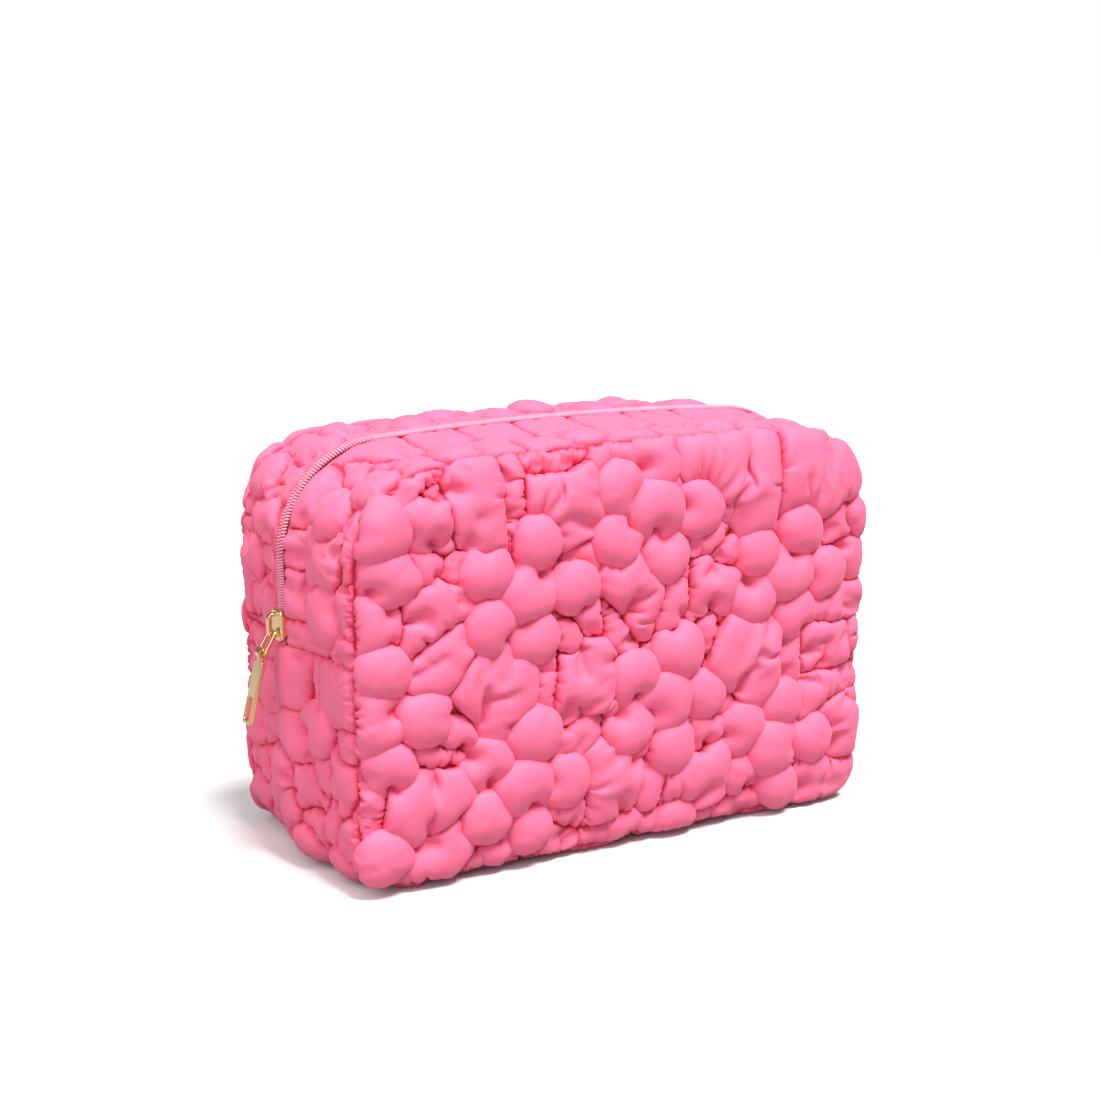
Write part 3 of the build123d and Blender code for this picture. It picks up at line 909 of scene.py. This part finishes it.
class Nodes:
    """A material with short ways to add and join its nodes."""

    def __init__(self, name):
        self.material = bpy.data.materials.new(name)
        self.material["slot"] = name
        self.material.use_nodes = True
        self.tree = self.material.node_tree
        self.shader = self.tree.nodes["Principled BSDF"]
        self.place = self.add("ShaderNodeTexCoord").outputs["Object"]

    def add(self, kind, **settings):
        node = self.tree.nodes.new(kind)
        for key, value in settings.items():
            setattr(node, key, value)
        return node

    def join(self, source, target):
        self.tree.links.new(source, target)

    def put(self, value, socket):
        """Joins an output to a socket, or sets it to a value."""
        if hasattr(value, "is_output"):
            self.join(value, socket)
        else:
            socket.default_value = value

    def set(self, **values):
        for key, value in values.items():
            self.shader.inputs[key.replace("_", " ")].default_value = value

    def noise(self, scale, detail=2.0):
        node = self.add("ShaderNodeTexNoise")
        node.inputs["Scale"].default_value = scale
        node.inputs["Detail"].default_value = detail
        self.join(self.place, node.inputs["Vector"])
        return node.outputs["Fac"]

    def wave(self, scale, direction, distortion):
        node = self.add("ShaderNodeTexWave", bands_direction=direction)
        node.inputs["Scale"].default_value = scale
        node.inputs["Distortion"].default_value = distortion
        self.join(self.place, node.inputs["Vector"])
        return node.outputs["Fac"]

    def maths(self, operation, a, b):
        node = self.add("ShaderNodeMath", operation=operation)
        for socket, value in zip(node.inputs, (a, b)):
            self.put(value, socket)
        return node.outputs[0]

    def ramp(self, value, low, high):
        """A number spread from one range, 0 to 1, to another."""
        node = self.add("ShaderNodeMapRange")
        self.join(value, node.inputs["Value"])
        node.inputs["To Min"].default_value, node.inputs["To Max"].default_value = low, high
        return node.outputs["Result"]

    def colours(self, value, *stops):
        node = self.add("ShaderNodeValToRGB")
        self.join(value, node.inputs["Fac"])
        ramp = node.color_ramp
        while len(ramp.elements) < len(stops):
            ramp.elements.new(0.5)
        for element, (at, colour) in zip(ramp.elements, stops):
            element.position, element.color = at, (*colour, 1)
        return node.outputs["Color"]

    def mix(self, factor, a, b, blend="MIX"):
        node = self.add("ShaderNodeMix", data_type="RGBA", blend_type=blend)
        for key, value in ((0, factor), (6, a), (7, b)):
            self.put(value, node.inputs[key])
        return node.outputs[2]

    def bump(self, height, distance, below=None):
        node = self.add("ShaderNodeBump")
        node.inputs["Distance"].default_value = distance
        self.join(height, node.inputs["Height"])
        if below:
            self.join(below, node.inputs["Normal"])
        return node.outputs["Normal"]

    def finish(self, colour, roughness, normal):
        self.join(colour, self.shader.inputs["Base Color"])
        self.join(roughness, self.shader.inputs["Roughness"])
        self.join(normal, self.shader.inputs["Normal"])
        return self.material


def woven(n, threads):
    """The height of a plain weave with this many threads to the millimetre."""
    x, y, z = (n.wave(WAVES_PER_MM * threads, axis, WEAVE_SWAY) for axis in "XYZ")
    return n.maths("ADD", n.maths("MAXIMUM", x, y), z)


def nylon_material():
    """Brushed pink nylon: painted shade in the creases, a soft sheen, a fine weave and small crinkles.
    """
    n = Nodes("quilted_nylon")
    n.set(Specular_IOR_Level=0.35, Sheen_Weight=0.12, Sheen_Roughness=0.4)
    depth = n.add("ShaderNodeAttribute", attribute_name="shade_from_stitching").outputs["Fac"]
    # Painted shade: the colour darkens to deep red near the stitching, in wrinkle valleys and under
    # petal rims; the last stop is the nylon's own colour
    painted_crease_shade = n.colours(
        n.maths("DIVIDE", depth, CREASE_SHADE),
        (0.0, (0.52, 0.012, 0.045)), (0.22, (0.77, 0.055, 0.130)), (0.5, (0.87, 0.110, 0.215)),
        (1.0, (0.89, 0.152, 0.285)),
    )
    puckered = n.ramp(n.maths("DIVIDE", depth, CRINKLE_FADE), 1.0, 0.25)
    blotches = n.ramp(n.noise(55.0, 3.0), 0.93, 1.06)
    speckle = n.ramp(n.noise(1400.0, 1.0), 0.97, 1.03)
    shade = n.maths("MULTIPLY", blotches, speckle)
    grey = n.add("ShaderNodeCombineColor")
    for socket in grey.inputs[:3]:
        n.join(shade, socket)
    colour = n.mix(1.0, painted_crease_shade, grey.outputs[0], "MULTIPLY")
    roughness = n.ramp(n.noise(90.0, 2.0), 0.58, 0.76)
    weave = n.bump(woven(n, 2.4), 0.00003)
    crinkle = n.bump(n.maths("MULTIPLY", n.noise(430.0, 2.0), puckered), 0.0006, weave)
    return n.finish(colour, roughness, crinkle)


def cloth_material(name, colour, rough, threads, ridge):
    """A plain woven cloth or tape: its colour, roughness, threads to the millimetre and bump."""
    n = Nodes(name)
    n.set(Specular_IOR_Level=0.3, Sheen_Weight=0.2, Sheen_Roughness=0.5)
    dark = tuple(0.72 * c for c in colour)
    weave = woven(n, threads)
    tint = n.colours(n.maths("MULTIPLY", weave, 0.5), (0.0, dark), (0.7, colour))
    patch = n.mix(n.ramp(n.noise(60.0, 3.0), 0.0, 0.35), tint, (*dark, 1))
    return n.finish(patch, n.ramp(n.noise(200.0), rough - 0.08, rough + 0.08), n.bump(weave, ridge))


def coil_material():
    """Smooth pale pink plastic."""
    n = Nodes("zip_coil")
    n.set(Specular_IOR_Level=0.45)
    colour = n.colours(n.noise(300.0), (0.3, (0.91, 0.27, 0.41)), (0.7, (0.94, 0.36, 0.49)))
    return n.finish(colour, n.ramp(n.noise(500.0), 0.32, 0.48), n.bump(n.noise(900.0), 0.00002))


def gold_material():
    """Polished light gold, with faint rub marks."""
    n = Nodes("gold_metal")
    n.set(Metallic=1.0)
    colour = n.colours(n.noise(160.0, 4.0), (0.3, (0.86, 0.62, 0.29)), (0.7, (0.95, 0.73, 0.40)))
    marks = n.noise(1500.0, 4.0)
    return n.finish(colour, n.ramp(marks, 0.13, 0.27), n.bump(marks, 0.00001))


# ---- camera and lights

def add_camera():
    """The camera, in front of the bag's left end and a little above it."""
    scene = bpy.context.scene
    azimuth, elevation = math.radians(AZIMUTH), math.radians(ELEVATION)
    back = Vector((
        math.sin(azimuth) * math.cos(elevation),
        -math.cos(azimuth) * math.cos(elevation),
        math.sin(elevation),
    ))
    data = bpy.data.cameras.new("camera")
    data.lens = LENS
    data.sensor_width = SENSOR
    data.shift_x, data.shift_y = SHIFT
    camera = bpy.data.objects.new("camera", data)
    camera.location = Vector(TARGET) + back * DISTANCE
    camera.rotation_euler = back.to_track_quat("Z", "Y").to_euler()
    scene.collection.objects.link(camera)
    scene.camera = camera
    scene.view_settings.view_transform = "Standard"


def join_camera_ray(tree, socket):
    """Gives a socket 1 for what the camera sees, and 0 for the light that falls on things."""
    tree.links.new(tree.nodes.new("ShaderNodeLightPath").outputs["Is Camera Ray"], socket)


def add_studio():
    """A world that looks white and gives a faint light, and two soft lamps."""
    world = bpy.data.worlds.new("studio")
    world.use_nodes = True
    tree = world.node_tree
    background = tree.nodes["Background"].inputs
    background["Color"].default_value = (1, 1, 1, 1)
    strength = tree.nodes.new("ShaderNodeMapRange")
    strength.inputs["To Min"].default_value = WORLD_LIGHT
    join_camera_ray(tree, strength.inputs["Value"])
    tree.links.new(strength.outputs["Result"], background["Strength"])
    bpy.context.scene.world = world
    for name, energy, angle, toward in LAMPS:
        light = bpy.data.lights.new(name, "SUN")
        light.energy = energy
        light.angle = math.radians(angle)
        lamp = bpy.data.objects.new(name, light)
        lamp.rotation_euler = Vector(toward).to_track_quat("Z", "Y").to_euler()
        bpy.context.scene.collection.objects.link(lamp)


def add_floor():
    """A plain floor that looks pale and throws back less light than it seems to."""
    ends = (-FLOOR_REACH, FLOOR_REACH)
    floor = grid_object("floor", np.array([[[x, y, 0.0] for y in ends] for x in ends]))
    material = bpy.data.materials.new("floor")
    material.use_nodes = True
    tree = material.node_tree
    shader = tree.nodes["Principled BSDF"].inputs
    pale = tree.nodes.new("ShaderNodeMix")
    pale.data_type = "RGBA"
    pale.inputs[6].default_value = FLOOR_LIT
    pale.inputs[7].default_value = FLOOR_SEEN
    join_camera_ray(tree, pale.inputs[0])
    tree.links.new(pale.outputs[2], shader["Base Color"])
    shader["Roughness"].default_value = 1
    shader["Specular IOR Level"].default_value = 0
    floor.data.materials.append(material)


add_camera()
add_studio()
add_floor()
nylon = nylon_material()
lining = cloth_material("lining", (0.80, 0.12, 0.24), 0.5, 3.0, 0.00004)
binding = cloth_material("binding", (0.82, 0.14, 0.27), 0.7, 1.6, 0.0001)
tape = cloth_material("zip_tape", (0.92, 0.25, 0.39), 0.75, 1.8, 0.00008)
coil = coil_material()
gold = gold_material()


# ---- the pieces

def ready(piece, material, *replaced):
    """Gives a piece its material, and hides the CAD nodes that it stands for."""
    piece.data.materials.append(material)
    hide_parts(*replaced)
    return piece


def nodes(parts, side, *layers):
    """The names of the CAD nodes of some of a half's layers, each in these parts."""
    return [f"{side}_{layer}{part}" for layer in layers for part in parts]


both = ("_lower", "_upper")  # below the fold and above it
over = ("", "_ends")  # over the bag, and at the zip's upright ends
for side, bubbles, leaves, end_loft, seed in ZIP_SIDES:
    rng = np.random.default_rng(seed)
    panel = ready(panel_quilt(f"{side}_quilt", seed), nylon, *nodes(both, side, "panel", "wadding"))
    strip = zip_quilt(f"{side}_zip_quilt", bubbles, leaves, end_loft, seed + 1)
    ready(strip, nylon, *nodes(over, side, "zip_gusset", "zip_gusset_wadding"))
    inside = ready(panel_lining(f"{side}_inside", rng), lining, *nodes(both, side, "lining"))
    zip_along = along_band(ZIP_REACH)
    zip_inside = band_lining(f"{side}_zip_inside", zip_along, -LINING_HALF, -ZIP_EDGE, rng)
    ready(zip_inside, lining, *nodes(over, side, "zip_gusset_lining"))
    bound = ready(seam_binding(f"{side}_binding"), binding, *nodes(both, side, "seam_binding"))
    woven_tape = ready(zip_tape(f"{side}_tape"), tape, *nodes(over, side, "zip_tape"))
    wound = ready(zip_coil(f"{side}_coil"), coil, *nodes(over, side, "zip_coil"))
    for piece in (panel, strip, inside, zip_inside, bound, woven_tape, wound):
        if side == "rear":
            piece.data.transform(HALF_TURN)
        across_fold(piece)

bottom = bottom_quilt("bottom_quilt", BOTTOM_SEED)
ready(bottom, nylon, "bottom_gusset", "bottom_gusset_wadding")
rng = np.random.default_rng(BOTTOM_LINING_SEED)
bottom_along = from_top(along_band(CROSS_ARC))
bottom_inside = band_lining("bottom_inside", bottom_along, -LINING_HALF, LINING_HALF, rng)
ready(bottom_inside, lining, "bottom_gusset_lining")
crossing = ready(cross_bindings("cross_bindings"), binding, "cross_seam_bindings")
for piece in (bottom, bottom_inside, crossing):
    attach(piece, "base")

for name in ("slider_body", "slider_crown", "pull_link", "pull_tab"):
    for slot in bpy.data.objects[name].material_slots:
        slot.material = gold
